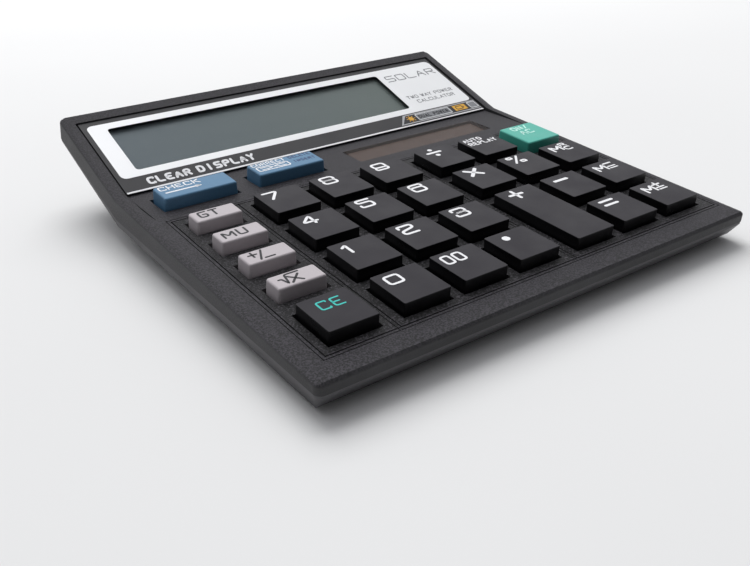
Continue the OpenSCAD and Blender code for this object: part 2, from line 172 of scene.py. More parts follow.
def towards(tree, coordinate, direction):
    """How far a texture coordinate's vector points in a direction."""
    node = tree.nodes.new("ShaderNodeVectorMath")
    node.operation = "DOT_PRODUCT"
    node.inputs[1].default_value = direction
    tree.links.new(tree.nodes.new("ShaderNodeTexCoord").outputs[coordinate], node.inputs[0])
    return node.outputs["Value"]


def upward(tree):
    """1 on faces that look up from the deck, 0 on the sides."""
    return remap(tree, towards(tree, "Normal", DECK_NORMAL), 0, 1, 0.5, 0.95)


def bump(tree, shader, height, depth):
    """Bump of the given depth in millimetres."""
    node = tree.nodes.new("ShaderNodeBump")
    node.inputs["Distance"].default_value = depth * MM
    tree.links.new(height, node.inputs["Height"])
    tree.links.new(node.outputs["Normal"], shader.inputs["Normal"])


def shade(colour, factor):
    return tuple(min(1.0, c * factor) for c in colour)


def moulded(name, colour, roughness, grain=0.4, depth=0.02, spread=0.1, specular=0.5, metallic=0.0, coat=0.0):
    """Moulded or coated surface: slow colour drift, uneven gloss, and a grain given in millimetres."""
    material, tree, shader = new_material(name)
    drift = noise(tree, 18, 3)
    fine = noise(tree, grain, 3, 0.6)
    tone = weighted(tree, drift, fine, 0.6)
    stops = [(0.3, shade(colour, 1 - spread)), (0.7, shade(colour, 1 + spread))]
    tree.links.new(ramp(tree, tone, stops), shader.inputs["Base Color"])
    gloss = remap(tree, noise(tree, 9, 4), roughness - 0.05, roughness + 0.07, 0.3, 0.7)
    tree.links.new(gloss, shader.inputs["Roughness"])
    shader.inputs["Specular IOR Level"].default_value = specular
    shader.inputs["Metallic"].default_value = metallic
    shader.inputs["Coat Weight"].default_value = coat
    shader.inputs["Coat Roughness"].default_value = 0.12
    bump(tree, shader, fine, depth)
    return material


def satin_black():
    """Black key plastic: satin tops, and smoother sides that carry painted shade, coloured darker than the
    tops.
    """
    material, tree, shader = new_material("key_black")
    top = upward(tree)
    # Painted shade: the upward mask colours the sides darker than the tops
    stops = [(0.0, (0.0018, 0.0016, 0.0024)), (1.0, (0.0085, 0.006, 0.0115))]
    tree.links.new(ramp(tree, top, stops), shader.inputs["Base Color"])
    fine = noise(tree, 0.3, 3, 0.6)
    uneven = remap(tree, noise(tree, 9, 4), -0.04, 0.06, 0.3, 0.7)
    tree.links.new(maths(tree, "ADD", remap(tree, top, 0.3, 0.46), uneven), shader.inputs["Roughness"])
    shader.inputs["Specular IOR Level"].default_value = 0.42
    bump(tree, shader, fine, 0.012)
    return material


# Key zones on the deck: how far they pass the key mat on the left and right, and where they end along it
ZONE_PAST_MAT = (1.1, 2.2)
ZONE_ENDS = (-2.5, 75)


def key_zone(tree):
    """1 where the keys stand, 0 on the borders of the case."""
    low, high = local_box("key_mat", DECK)
    left, right = (low.x - ZONE_PAST_MAT[0]) * MM, (high.x + ZONE_PAST_MAT[1]) * MM
    front, back = [(DECK @ Vector((0, y, 0))).y for y in ZONE_ENDS]
    across = inside(tree, position(tree, "X"), left, right)
    along = inside(tree, position(tree, "Y"), front, back)
    return maths(tree, "MULTIPLY", across, along)


def case_material():
    """Charcoal plastic with a sand grain: rougher and darker on the key zones than on the borders, with
    painted light on the side walls, coloured lighter than the tops.
    """
    material, tree, shader = new_material("case_charcoal")
    zone = key_zone(tree)
    coarse = noise(tree, 0.5, 2, 0.7)
    fine = noise(tree, 0.3, 2, 0.6)
    drift = noise(tree, 22, 3)
    border = ramp(tree, coarse, [(0.42, (0.001, 0.0008, 0.0018)), (0.6, (0.05, 0.046, 0.055))])
    ground = ramp(tree, coarse, [(0.5, (0.001, 0.0008, 0.0014)), (0.64, (0.062, 0.058, 0.066))])
    top = mixed(tree, zone, border, ground)
    # Painted light: the upward mask gives the side walls a lighter colour than the tops
    wall_stops = [(0.32, (0.022, 0.021, 0.023)), (0.68, (0.057, 0.056, 0.06))]
    wall = ramp(tree, weighted(tree, coarse, drift, 0.5), wall_stops)
    tree.links.new(mixed(tree, upward(tree), wall, top), shader.inputs["Base Color"])
    tree.links.new(remap(tree, coarse, 0.5, 0.7, 0.35, 0.65), shader.inputs["Roughness"])
    shader.inputs["Specular IOR Level"].default_value = 0.47
    relief = remap(tree, zone, 2.0, 8.0)
    bump(tree, shader, maths(tree, "MULTIPLY_ADD", coarse, relief, fine), 0.026)
    return material


def lcd_material():
    """Unlit liquid crystal panel: grey green, a little warmer towards the right."""
    material, tree, shader = new_material("lcd_panel")
    left, right = -64 * MM, 44 * MM
    across = remap(tree, position(tree, "X"), 0, 1, left, right)
    stops = [(0.0, (0.165, 0.2, 0.222)), (1.0, (0.175, 0.21, 0.2))]
    tree.links.new(ramp(tree, across, stops), shader.inputs["Base Color"])
    tree.links.new(remap(tree, noise(tree, 6, 3), 0.2, 0.3), shader.inputs["Roughness"])
    shader.inputs["Specular IOR Level"].default_value = 0.2
    bump(tree, shader, noise(tree, 0.3, 2), 0.002)
    return material


def clear_material(name, tint, alpha):
    """Thin clear sheet that shows what is behind it, less its own tint."""
    material, tree, shader = new_material(name)
    stops = [(0.3, shade(tint, 0.9)), (0.7, shade(tint, 1.1))]
    tree.links.new(ramp(tree, noise(tree, 12, 2), stops), shader.inputs["Base Color"])
    shader.inputs["Alpha"].default_value = alpha
    tree.links.new(remap(tree, noise(tree, 7, 3), 0.05, 0.12), shader.inputs["Roughness"])
    shader.inputs["IOR"].default_value = 1.3
    return material


def solar_material():
    """Amorphous cell: four brown strips with fine paler lines between them."""
    material, tree, shader = new_material("solar_film")
    strips = 4
    line_share = 0.018
    low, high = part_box("solar_cell")
    from_left = maths(tree, "SUBTRACT", position(tree, "X"), low.x)
    along_strip = maths(tree, "FRACT", maths(tree, "DIVIDE", from_left, (high.x - low.x) / strips))
    line = maths(tree, "LESS_THAN", along_strip, line_share)
    brown = ramp(tree, noise(tree, 4, 4), [(0.3, (0.14, 0.083, 0.066)), (0.7, (0.185, 0.112, 0.091))])
    pale = (0.2, 0.16, 0.14, 1)
    tree.links.new(mixed(tree, line, brown, pale), shader.inputs["Base Color"])
    tree.links.new(remap(tree, noise(tree, 5, 3), 0.25, 0.4), shader.inputs["Roughness"])
    return material


def board_material():
    """Green solder mask over copper tracks."""
    material, tree, shader = new_material("circuit_board")
    tracks = tree.nodes.new("ShaderNodeTexBrick")
    tracks.inputs["Scale"].default_value = 260
    tracks.inputs["Mortar Size"].default_value = 0.09
    tracks.inputs["Color1"].default_value = (0.02, 0.11, 0.035, 1)
    tracks.inputs["Color2"].default_value = (0.016, 0.09, 0.03, 1)
    tracks.inputs["Mortar"].default_value = (0.06, 0.2, 0.07, 1)
    tree.links.new(place_vector(tree), tracks.inputs["Vector"])
    tree.links.new(tracks.outputs["Color"], shader.inputs["Base Color"])
    tree.links.new(remap(tree, noise(tree, 3, 3), 0.25, 0.4), shader.inputs["Roughness"])
    bump(tree, shader, tracks.outputs["Fac"], 0.03)
    return material


def cell_material():
    """Wrapped battery cell: blue jacket with a pale band, bare metal ends."""
    material, tree, shader = new_material("cell_jacket")
    low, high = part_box("battery_cell")
    along = remap(tree, position(tree, "X"), 0, 1, low.x, high.x)
    steel, blue, pale = (0.5, 0.5, 0.52), (0.02, 0.07, 0.2), (0.6, 0.62, 0.65)
    stops = [(0.0, steel), (0.02, blue), (0.7, pale), (0.74, blue), (0.955, steel)]
    colour = ramp(tree, along, stops)
    colour.node.color_ramp.interpolation = "CONSTANT"
    tree.links.new(colour, shader.inputs["Base Color"])
    tree.links.new(remap(tree, noise(tree, 3, 3), 0.2, 0.34), shader.inputs["Roughness"])
    return material


def brushed(name, colour, roughness, stretch):
    """Brushed metal; stretch is how fine its pattern is along each axis."""
    material, tree, shader = new_material(name)
    mapping = tree.nodes.new("ShaderNodeMapping")
    mapping.inputs["Scale"].default_value = stretch
    tree.links.new(place_vector(tree), mapping.inputs["Vector"])
    lines = tree.nodes.new("ShaderNodeTexNoise")
    lines.inputs["Scale"].default_value = 1
    lines.inputs["Detail"].default_value = 3
    tree.links.new(mapping.outputs["Vector"], lines.inputs["Vector"])
    stops = [(0.3, shade(colour, 0.85)), (0.7, shade(colour, 1.1))]
    tree.links.new(ramp(tree, lines.outputs["Fac"], stops), shader.inputs["Base Color"])
    tree.links.new(remap(tree, lines.outputs["Fac"], roughness, roughness + 0.15), shader.inputs["Roughness"])
    shader.inputs["Metallic"].default_value = 1.0
    bump(tree, shader, lines.outputs["Fac"], 0.01)
    return material


KEY_BLACK = satin_black()
KEY_BLUE = moulded("key_blue", (0.078, 0.19, 0.32), 0.38, 0.5, 0.008, 0.06)
KEY_LIGHT = moulded("key_light", (0.47, 0.43, 0.45), 0.42, 0.5, 0.008, 0.05)
KEY_GREEN = moulded("key_green", (0.06, 0.4, 0.32), 0.38, 0.5, 0.008, 0.06)
INK_WHITE = moulded("ink_white", (0.8, 0.8, 0.82), 0.45, 0.3, 0.004, 0.05)
INK_DARK = moulded("ink_dark", (0.012, 0.012, 0.016), 0.45, 0.3, 0.004, 0.1)
INK_TURQUOISE = moulded("ink_turquoise", (0.03, 0.5, 0.45), 0.45, 0.3, 0.004, 0.05)
INK_NAVY = moulded("ink_navy", (0.03, 0.05, 0.14), 0.45, 0.3, 0.004, 0.05)
INK_PALE = moulded("ink_pale", (0.5, 0.8, 0.72), 0.45, 0.3, 0.004, 0.05)
INK_SILVER = moulded("ink_silver", (0.86, 0.865, 0.88), 0.34, 0.15, 0.004, 0.05, metallic=0.65, coat=0.5)
INK_GREY = moulded("ink_grey", (0.19, 0.195, 0.21), 0.4, 0.3, 0.004, 0.06)
INK_GOLD = moulded("ink_gold", (0.68, 0.36, 0.03), 0.35, 0.2, 0.004, 0.08, metallic=0.3)
CASE = case_material()
BASE = moulded("base_charcoal", (0.08, 0.078, 0.084), 0.5, 0.3, 0.02, 0.1)
FACEPLATE = moulded("faceplate_print", (0.02, 0.019, 0.022), 0.4, 0.3, 0.003, 0.1)
RUBBER_GREY = moulded("dome_rubber", (0.22, 0.23, 0.25), 0.7, 0.5, 0.02, 0.08, specular=0.3)
RUBBER_BLACK = moulded("foot_rubber", (0.012, 0.012, 0.013), 0.75, 0.4, 0.03, 0.15, specular=0.3)
INNER = moulded("inner_plastic", (0.015, 0.015, 0.016), 0.5, 0.4, 0.01)
REFLECTOR = moulded("reflector_film", (0.25, 0.28, 0.26), 0.35, 0.3, 0.004, metallic=0.4)
FILM = moulded("flex_film", (0.4, 0.19, 0.04), 0.3, 0.8, 0.004, coat=0.3)
RESIN = moulded("chip_resin", (0.008, 0.008, 0.009), 0.22, 2.0, 0.05)
COMPONENT = moulded("component_coat", (0.16, 0.12, 0.07), 0.35, 0.8, 0.02)
WIRE = moulded("wire_jacket", (0.3, 0.02, 0.015), 0.4, 0.4, 0.01)
STEEL = brushed("screw_steel", (0.5, 0.5, 0.52), 0.28, (2500, 900, 900))
CONTACT = brushed("contact_nickel", (0.66, 0.65, 0.62), 0.2, (900, 2500, 900))
BADGE = brushed("badge_aluminium", (0.5, 0.5, 0.52), 0.32, (300, 6000, 6000))
LABEL = brushed("label_foil", (0.42, 0.42, 0.43), 0.4, (300, 4000, 4000))
LCD = lcd_material()
LENS = clear_material("lens_acrylic", (0.03, 0.033, 0.033), 0.1)
SOLAR_LENS = clear_material("solar_acrylic", (0.05, 0.035, 0.03), 0.3)
SOLAR = solar_material()
BOARD = board_material()
CELL = cell_material()

NODE_MATERIALS = {
    "upper_case": CASE, "lower_case": BASE, "battery_cover": BASE, "display_faceplate": FACEPLATE,
    "display_lens": LENS, "lcd_front_glass": LCD, "lcd_rear_glass": LCD, "lcd_reflector": REFLECTOR,
    "lcd_holder": INNER, "lcd_ribbon": FILM, "badge_strip": BADGE, "solar_window": SOLAR_LENS,
    "solar_cell": SOLAR, "solar_wires": WIRE, "main_board": BOARD, "calculator_chip": RESIN,
    "capacitors": COMPONENT, "resistors": COMPONENT, "battery_cell": CELL, "battery_spring": CONTACT,
    "battery_plate": CONTACT, "battery_wires": WIRE, "case_screws": STEEL, "board_screws": STEEL,
    "rubber_feet": RUBBER_BLACK, "rating_label": LABEL,
}
# Width in millimetres of the rounding along a node's edges; the nodes not listed stay as they are
EDGE_RADII = {
    "upper_case": 0.16, "lower_case": 0.25, "battery_cover": 0.2, "display_faceplate": 0.06,
    "display_lens": 0.1, "solar_window": 0.08, "badge_strip": 0.04, "rubber_feet": 0.35, "rating_label": 0.03,
    "case_screws": 0.08, "lcd_holder": 0.1, "battery_plate": 0.08,
}


def smooth(mesh, angle=SHARP_ANGLE):
    mesh.shade_smooth()
    mesh.set_sharp_from_angle(angle=math.radians(angle))


def finish_cad_node(name, material):
    """Gives a carried-over CAD node its material, rounded edges and even normals."""
    obj = NODES[name]
    obj.data.materials.clear()
    obj.data.materials.append(material)
    if obj.data.has_custom_normals:
        obj.data.attributes.remove(obj.data.attributes["custom_normal"])
    smooth(obj.data)
    if name in EDGE_RADII:
        # Corners are loaded apart along sharp edges, so they are joined before those edges are rounded
        weld = obj.modifiers.new("weld", "WELD")
        weld.merge_threshold = JOIN_DISTANCE
        edge = obj.modifiers.new("edge", "BEVEL")
        edge.width = EDGE_RADII[name] * MM
        edge.segments = 2
        edge.limit_method = "ANGLE"
        edge.angle_limit = math.radians(SHARP_ANGLE)
        edge.harden_normals = False
        even = obj.modifiers.new("even", "WEIGHTED_NORMAL")
        even.keep_sharp = True
        even.weight = 90


for node_name, node_material in NODE_MATERIALS.items():
    finish_cad_node(node_name, node_material)

# ---- mesh helpers ----


def mesh_object(name, bm, material, body, angle=SHARP_ANGLE):
    """Object made from bm, in one material, that moves with a body."""
    bmesh.ops.recalc_face_normals(bm, faces=bm.faces)
    mesh = bpy.data.meshes.new(name)
    bm.to_mesh(mesh)
    bm.free()
    mesh.materials.append(material)
    smooth(mesh, angle)
    obj = bpy.data.objects.new(name, mesh)
    bpy.context.scene.collection.objects.link(obj)
    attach(obj, body)
    return obj


def rectangle(x1, y1, x2, y2):
    """Anticlockwise corners of a rectangle."""
    return [(x1, y1), (x2, y1), (x2, y2), (x1, y2)]


def rounded_outline(x1, y1, x2, y2, radius, steps=5):
    """Anticlockwise points round a rectangle with rounded corners."""
    corners = [(x2 - radius, y2 - radius), (x1 + radius, y2 - radius),
               (x1 + radius, y1 + radius), (x2 - radius, y1 + radius)]
    points = []
    for quarter, (cx, cy) in enumerate(corners):
        for i in range(steps + 1):
            a = math.pi / 2 * (quarter + i / steps)
            points.append((cx + radius * math.cos(a), cy + radius * math.sin(a)))
    return points


def circle_outline(x, y, radius, steps=24):
    angles = [2 * math.pi * i / steps for i in range(steps)]
    return [(x + radius * math.cos(a), y + radius * math.sin(a)) for a in angles]


def loft(bm, rings, place):
    """Closed solid through rings of equally many points, each given in millimetres."""
    rows = [[bm.verts.new(place @ Vector(p)) for p in ring] for ring in rings]
    for low, high in zip(rows, rows[1:]):
        for i in range(len(low)):
            j = (i + 1) % len(low)
            bm.faces.new((low[i], low[j], high[j], high[i]))
    bm.faces.new(reversed(rows[0]))
    bm.faces.new(rows[-1])


def plate(name, outlines, place, low, high, material, body):
    """Flat plate between two heights; the second and later outlines are holes in the first."""
    curve = bpy.data.curves.new(name, "CURVE")
    curve.dimensions = "2D"
    curve.fill_mode = "BOTH"
    curve.extrude = (high - low) / 2
    for outline in outlines:
        spline = curve.splines.new("POLY")
        spline.points.add(len(outline) - 1)
        spline.use_cyclic_u = True
        for point, (x, y) in zip(spline.points, outline):
            point.co = (x, y, 0, 1)
    shape = bpy.data.objects.new(name, curve)
    bpy.context.scene.collection.objects.link(shape)
    bpy.context.view_layer.update()
    mesh = bpy.data.meshes.new_from_object(shape)
    bpy.data.objects.remove(shape)
    mesh.transform(place @ Matrix.Translation((0, 0, (low + high) / 2)))
    bm = bmesh.new()
    bm.from_mesh(mesh)
    bmesh.ops.remove_doubles(bm, verts=bm.verts, dist=JOIN_DISTANCE)
    return mesh_object(name, bm, material, body)


# ---- stroke lettering: each glyph lies on a grid of columns a to i and rows 0 to 8 ----

COLUMNS = "abcdefghi"
GRID = 8
# A comma parts two strokes, and a star closes one
FONT = {
    "0": "a0 i0 i8 a8 *", "1": "b6 e8 e0", "2": "a6 a8 i8 i5 a3 a0 i0", "3": "a6 a8 i8 i4 c4,c4 i4 i0 a0 a2",
    "4": "g0 g8 a2 i2", "5": "i8 a8 a5 i5 i0 a0 a2", "6": "i6 i8 a8 a0 i0 i5 a5", "7": "a8 i8 c0",
    "8": "a4 i4 i8 a8 *,a0 i0 i4 a4 *", "9": "a2 a0 i0 i8 a8 a3 i3", "A": "a0 e8 i0,b3 h3",
    "C": "i7 i8 a8 a0 i0 i1", "D": "a0 a1 a7 a8 b8 g8 i6 i2 g0 b0 *", "E": "i8 a8 a0 i0,a4 g4",
    "G": "i8 a8 a0 i0 i4 e4", "H": "a0 a8,i0 i8,a4 i4", "I": "e0 e8", "K": "a0 a8,i8 a4,c5 i0",
    "L": "a8 a0 i0", "M": "a0 a8 e2 i8 i0", "N": "a0 a8 i0 i8", "O": "a0 i0 i8 a8 *", "P": "a0 a8 i8 i4 a4",
    "R": "a0 a8 i8 i4 a4,e4 i0", "S": "i8 a8 a4 i4 i0 a0", "T": "a8 i8,e0 e8", "U": "a8 a0 i0 i8",
    "V": "a8 e0 i8", "W": "a8 c0 e7 g0 i8", "X": "a0 i8,a8 i0", "Y": "a8 e4 i8,e4 e0",
    "+": "a4 i4,e0 e8", "-": "a4 i4", "/": "b0 h8", "=": "a1 i1,a7 i7", ".": "e4", ":": "a4 i4,e8,e0",
    "%": "a6 a8 d8 d6 *,f0 f2 i2 i0 *,b0 h8", "root": "a5 b5 c0 d8 i8", "arrow": "a4 i4,h6 i4 h2",
    "box": "a0 i0 i8 a8 *", "cross": "a0 c0 g8 i8,a8 c8 g0 i0",
}


def rounded_path(points, radius, closed):
    """The same path with its corners rounded."""
    steps = 4
    # The share of a short side that each of its two curves may take
    side_share = 0.48
    count = len(points)
    path = []
    for i, p in enumerate(points):
        if not closed and i in (0, count - 1):
            path.append(p)
            continue
        before, after = points[i - 1], points[(i + 1) % count]
        reach = min(radius, side_share * (before - p).length, side_share * (after - p).length)
        start = p + (before - p).normalized() * reach
        end = p + (after - p).normalized() * reach
        for step in range(steps + 1):
            t = step / steps
            path.append(start * (1 - t) ** 2 + p * 2 * t * (1 - t) + end * t ** 2)
    return path


def ribbon(bm, points, width, closed, place, low, high):
    """Solid ink line along points, with round ends unless it is closed."""
    # At a sharp corner the line's outer side goes out no further than this allows
    least_turn = 0.6
    rows = []
    half = width / 2
    count = len(points)
    for i, p in enumerate(points):
        before = points[i - 1] if closed or i > 0 else None
        after = points[(i + 1) % count] if closed or i < count - 1 else None
        leaving = (after - p).normalized() if after is not None else (p - before).normalized()
        arriving = (p - before).normalized() if before is not None else leaving
        ahead = (leaving + arriving).normalized()
        side = Vector((-ahead.y, ahead.x))
        stretch = 1 / max(least_turn, side.dot(Vector((-leaving.y, leaving.x))))
        rows.append((p, side * half * stretch, ahead))
    pairs = [(p + s, p - s) for p, s, _ in rows]
    if not closed:
        round_end = [math.radians(a) for a in (80, 50, 25)]
        (p, s, ahead), (q, t, onward) = rows[0], rows[-1]
        first = [(p - ahead * half * math.sin(a), s * math.cos(a)) for a in round_end]
        final = [(q + onward * half * math.sin(a), t * math.cos(a)) for a in reversed(round_end)]
        pairs = [(c + w, c - w) for c, w in first] + pairs + [(c + w, c - w) for c, w in final]
    corners = []
    for left, right in pairs:
        section = ((left, high), (right, high), (right, low), (left, low))
        corners.append([bm.verts.new(place @ Vector((*xy, z))) for xy, z in section])
    spans = list(zip(corners, corners[1:] + corners[:1]))
    for a, b in spans if closed else spans[:-1]:
        for k in range(4):
            m = (k + 1) % 4
            bm.faces.new((a[k], a[m], b[m], b[k]))
    if not closed:
        bm.faces.new(corners[0])
        bm.faces.new(corners[-1])


def draw(bm, glyph, left, front, size, stroke, place, z):
    """One glyph with its front left corner at (left, front); a lone spot of it becomes a bold dot."""
    for part in FONT[glyph].split(","):
        marks = part.split()
        closed = marks[-1] == "*"
        spots = [Vector((left + size[0] * COLUMNS.index(m[0]) / GRID, front + size[1] * int(m[1]) / GRID))
                 for m in marks if m != "*"]
        if len(spots) == 1:
            nudge, dot = Vector((0.02, 0)), stroke * 1.5
            ribbon(bm, [spots[0] - nudge, spots[0] + nudge], dot, False, place, z - INK, z + INK)
        else:
            corner = stroke * 1.25
            path = rounded_path(spots, corner, closed)
            ribbon(bm, path, stroke, closed, place, z - INK, z + INK)


def write(bm, text, left, back, size, stroke, place, z, gap=None):
    """A line of text, hung from its back left corner. Sizes are over the outside of the strokes."""
    gap = stroke * 1.1 if gap is None else gap
    space = 0.5
    inner = (size[0] - stroke, size[1] - stroke)
    for letter in [text] if text in FONT else text:
        if letter != " ":
            draw(bm, letter, left + stroke / 2, back - size[1] + stroke / 2, inner, stroke, place, z)
        left += size[0] * (space if letter == " " else 1) + gap


# ---- keys ----

# How far a key's flange stands out under the deck, and the height of its top there
FLANGE = 1.4
FLANGE_TOP = -2.2
# Smallest corner radius of a key, and how wide the flat ring just inside its top edge is
KEY_RIM = 0.12
# Corner radius in plan, radius of the top edge, lean of the sides
BLACK_FORM = (0.45, 0.14, 0.0)
SOFT_FORM = (0.9, 0.6, 0.15)
COLOURED = {
    "key_power": KEY_GREEN, "key_check": KEY_BLUE, "key_correct": KEY_BLUE, "key_root": KEY_LIGHT,
    "key_sign": KEY_LIGHT, "key_markup": KEY_LIGHT, "key_grand_total": KEY_LIGHT,
}
KEYS = sorted(n for n in NODES if n.startswith("key_") and n != "key_mat")


def keycap(node):
    """Keycap with a flange below the deck, rounded corners and a small radius along the top edge."""
    low, high = local_box(node, DECK)
    corner, fillet, lean = SOFT_FORM if node in COLOURED else BLACK_FORM
    top = high.z
    steps = 5
    profile = [(-FLANGE, low.z), (-FLANGE, FLANGE_TOP), (0, FLANGE_TOP), (0, 0), (lean, top - fillet)]
    for i in range(1, steps + 1):
        a = math.pi / 2 * i / steps
        profile.append((lean + fillet * (1 - math.cos(a)), top - fillet + fillet * math.sin(a)))
    profile.append((lean + fillet + KEY_RIM, top))
    rings = []
    for inset, z in profile:
        edge = FLANGE + inset
        radius = max(corner - inset, KEY_RIM)
        outline = rounded_outline(low.x + edge, low.y + edge, high.x - edge, high.y - edge, radius)
        rings.append([(x, y, z) for x, y in outline])
    bm = bmesh.new()
    loft(bm, rings, DECK)
    cap = mesh_object("cap_" + node, bm, COLOURED.get(node, KEY_BLACK), node)
    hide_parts(node)


# How thick the mat's web is, and how far under its key a dome ends
WEB_T = 0.6
DOME_GAP = 0.12
MAT_LOW, MAT_HIGH = local_box("key_mat", DECK)
MAT_TOP = MAT_LOW.z + WEB_T


def dome(node):
    """Rubber dome under a key."""
    low, high = local_box(node, DECK)
    x, y = (low.x + high.x) / 2, (low.y + high.y) / 2
    top = low.z - DOME_GAP
    foot = MAT_TOP
    # Radius and height, from the foot up
    profile = [(3.2, foot), (3.2, foot + 0.12), (2.9, foot + 0.4), (2.5, foot + 0.85), (2.3, top - 0.15),
               (2.1, top), (1.2, top)]
    bm = bmesh.new()
    loft(bm, [[(px, py, z) for px, py in circle_outline(x, y, r)] for r, z in profile], DECK)
    piece = mesh_object("dome_" + node, bm, RUBBER_GREY, "casing", angle=50)
    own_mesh(piece)


def key_mat():
    """The mat's web, with room for the posts, the ribbon and the solar wires."""
    x1, y1, x2, y2 = MAT_LOW.x, MAT_LOW.y, MAT_HIGH.x, MAT_HIGH.y
    ribbon_low, ribbon_high = local_box("lcd_ribbon", DECK)
    clearance = 1
    notch_left, notch_right, notch_front = ribbon_low.x - clearance, ribbon_high.x + clearance, 91
    outer = [(x1, y1), (x2, y1), (x2, y2), (notch_right, y2), (notch_right, notch_front),
             (notch_left, notch_front), (notch_left, y2), (x1, y2)]
    post_columns, post_rows, post_hole = (-48.15, 11.55), (12, 28, 49, 66), 2.4
    holes = [circle_outline(x, y, post_hole) for x in post_columns for y in post_rows]
    wire_hole = rectangle(46, 76, 58, 81)
    web = plate("mat_web", [outer, *holes, wire_hole], DECK, MAT_LOW.z, MAT_TOP, RUBBER_GREY, "casing")
    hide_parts("key_mat")


key_mat()
for key_name in KEYS:
    keycap(key_name)
    dome(key_name)

# Legends: key, text, distance from the key's left and back edges, size of a letter, stroke, ink, gap
DIGIT = (5.3, 5.3)
LEGENDS = [
    ("key_7", "7", 1.9, 0.9, DIGIT, 0.85, INK_WHITE),
    ("key_8", "8", 2.5, 0.6, DIGIT, 0.85, INK_WHITE),
    ("key_9", "9", 2.9, 0.6, DIGIT, 0.85, INK_WHITE),
    ("key_4", "4", 2.0, 0.8, DIGIT, 0.85, INK_WHITE),
    ("key_5", "5", 2.5, 0.5, DIGIT, 0.85, INK_WHITE),
    ("key_6", "6", 2.8, 0.5, DIGIT, 0.85, INK_WHITE),
    ("key_1", "1", 2.2, 1.5, (4.4, 5.0), 0.85, INK_WHITE),
    ("key_2", "2", 2.5, 1.1, DIGIT, 0.85, INK_WHITE),
    ("key_3", "3", 2.7, 0.9, DIGIT, 0.85, INK_WHITE),
    ("key_0", "0", 2.2, 1.6, (4.9, 4.5), 0.75, INK_WHITE),
    ("key_double_zero", "00", 1.5, 1.5, (3.2, 4.6), 0.7, INK_WHITE, 0.6),
    ("key_point", ".", 3.9, 2.3, (2.2, 2.2), 1.6, INK_WHITE),
    ("key_plus", "+", 2.6, 0.8, (5.8, 5.6), 1.1, INK_WHITE),
    ("key_minus", "-", 2.7, 2.8, (6.2, 1.2), 1.2, INK_WHITE),
    ("key_times", "X", 3.1, 0.9, (5.6, 5.3), 1.2, INK_WHITE),
    ("key_divide", ":", 2.7, 0.6, (6.2, 5.6), 1.1, INK_WHITE),
    ("key_percent", "%", 2.6, 0.6, (6.0, 5.4), 0.75, INK_WHITE),
    ("key_equals", "=", 2.7, 1.2, (6.1, 4.2), 1.0, INK_WHITE),
    ("key_memory_plus", "M", 2.2, 1.6, (4.8, 4.5), 0.85, INK_WHITE),
    ("key_memory_plus", "+", 7.3, 1.1, (3.7, 2.9), 0.7, INK_WHITE),
    ("key_memory_plus", "=", 7.3, 4.0, (3.7, 2.2), 0.6, INK_WHITE),
    ("key_memory_minus", "M", 2.2, 1.6, (4.8, 4.5), 0.85, INK_WHITE),
    ("key_memory_minus", "-", 7.3, 1.8, (3.9, 0.7), 0.7, INK_WHITE),
    ("key_memory_minus", "=", 7.3, 3.9, (3.7, 2.2), 0.6, INK_WHITE),
    ("key_memory_recall", "M", 2.2, 1.4, (4.8, 4.5), 0.85, INK_WHITE),
    ("key_memory_recall", "R", 7.4, 0.8, (3.0, 2.7), 0.6, INK_WHITE),
    ("key_memory_recall", "C", 7.4, 3.8, (3.0, 2.7), 0.6, INK_WHITE),
    ("key_replay", "AUTO", 1.0, 0.4, (1.75, 2.5), 0.5, INK_WHITE, 0.3),
    ("key_replay", "REPLAY", 1.0, 3.5, (1.75, 2.6), 0.5, INK_WHITE, 0.3),
    ("key_power", "ON/", 3.4, 1.3, (2.3, 3.1), 0.55, INK_PALE, 0.35),
    ("key_power", "AC", 4.0, 5.1, (2.6, 3.3), 0.55, INK_PALE, 0.5),
    ("key_clear_entry", "CE", 3.6, 2.4, (3.0, 3.9), 0.5, INK_TURQUOISE, 0.8),
    ("key_grand_total", "GT", 2.0, 1.1, (2.9, 3.8), 0.62, INK_DARK, 0.55),
    ("key_markup", "M", 1.8, 1.4, (3.7, 3.7), 0.62, INK_DARK),
    ("key_markup", "U", 6.2, 1.4, (3.0, 3.7), 0.62, INK_DARK),
    ("key_sign", "+", 1.8, 0.9, (2.9, 3.1), 0.6, INK_DARK),
    ("key_sign", "/", 3.6, 0.8, (3.4, 5.0), 0.6, INK_DARK),
    ("key_sign", "-", 5.3, 5.0, (3.3, 0.6), 0.6, INK_DARK),
    ("key_root", "root", 2.0, 0.9, (6.9, 4.9), 0.6, INK_DARK),
    ("key_root", "X", 4.6, 2.0, (3.7, 3.8), 0.65, INK_DARK),
    ("key_check", "CHECK", 1.1, 0.9, (2.3, 2.8), 0.45, INK_WHITE, 0.4),
    ("key_check", "arrow", 1.9, 4.5, (11.6, 2.0), 0.7, INK_WHITE),
    ("key_correct", "CORRECT", 1.0, 0.7, (1.45, 2.2), 0.36, INK_WHITE, 0.3),
    ("key_correct", "box", 1.3, 3.5, (11.5, 3.4), 0.45, INK_WHITE),
    ("key_correct", "cross", 2.6, 4.3, (9.0, 1.8), 0.4, INK_WHITE),
    ("key_correct", "DELETE", 14.4, 0.9, (1.1, 1.8), 0.3, INK_NAVY, 0.25),
    ("key_correct", "INSERT", 14.4, 4.3, (1.1, 1.8), 0.3, INK_NAVY, 0.25),
]


def legends():
    """One printed piece for each key and ink."""
    groups = {}
    for key, text, left, back, size, stroke, ink, *gap in LEGENDS:
        groups.setdefault((key, ink), []).append((text, left, back, size, stroke, *gap))
    for (key, ink), lines in groups.items():
        low, high = local_box(key, DECK)
        bm = bmesh.new()
        cap_left, cap_back = low.x + FLANGE, high.y - FLANGE
        for text, left, back, size, stroke, *gap in lines:
            write(bm, text, cap_left + left, cap_back - back, size, stroke, DECK, high.z, *gap)
        name = "legend_" + key.replace("key_", "") + "_" + ink.name.replace("ink_", "")
        mesh_object(name, bm, ink, key)


legends()

# ---- printing on the display panel ----

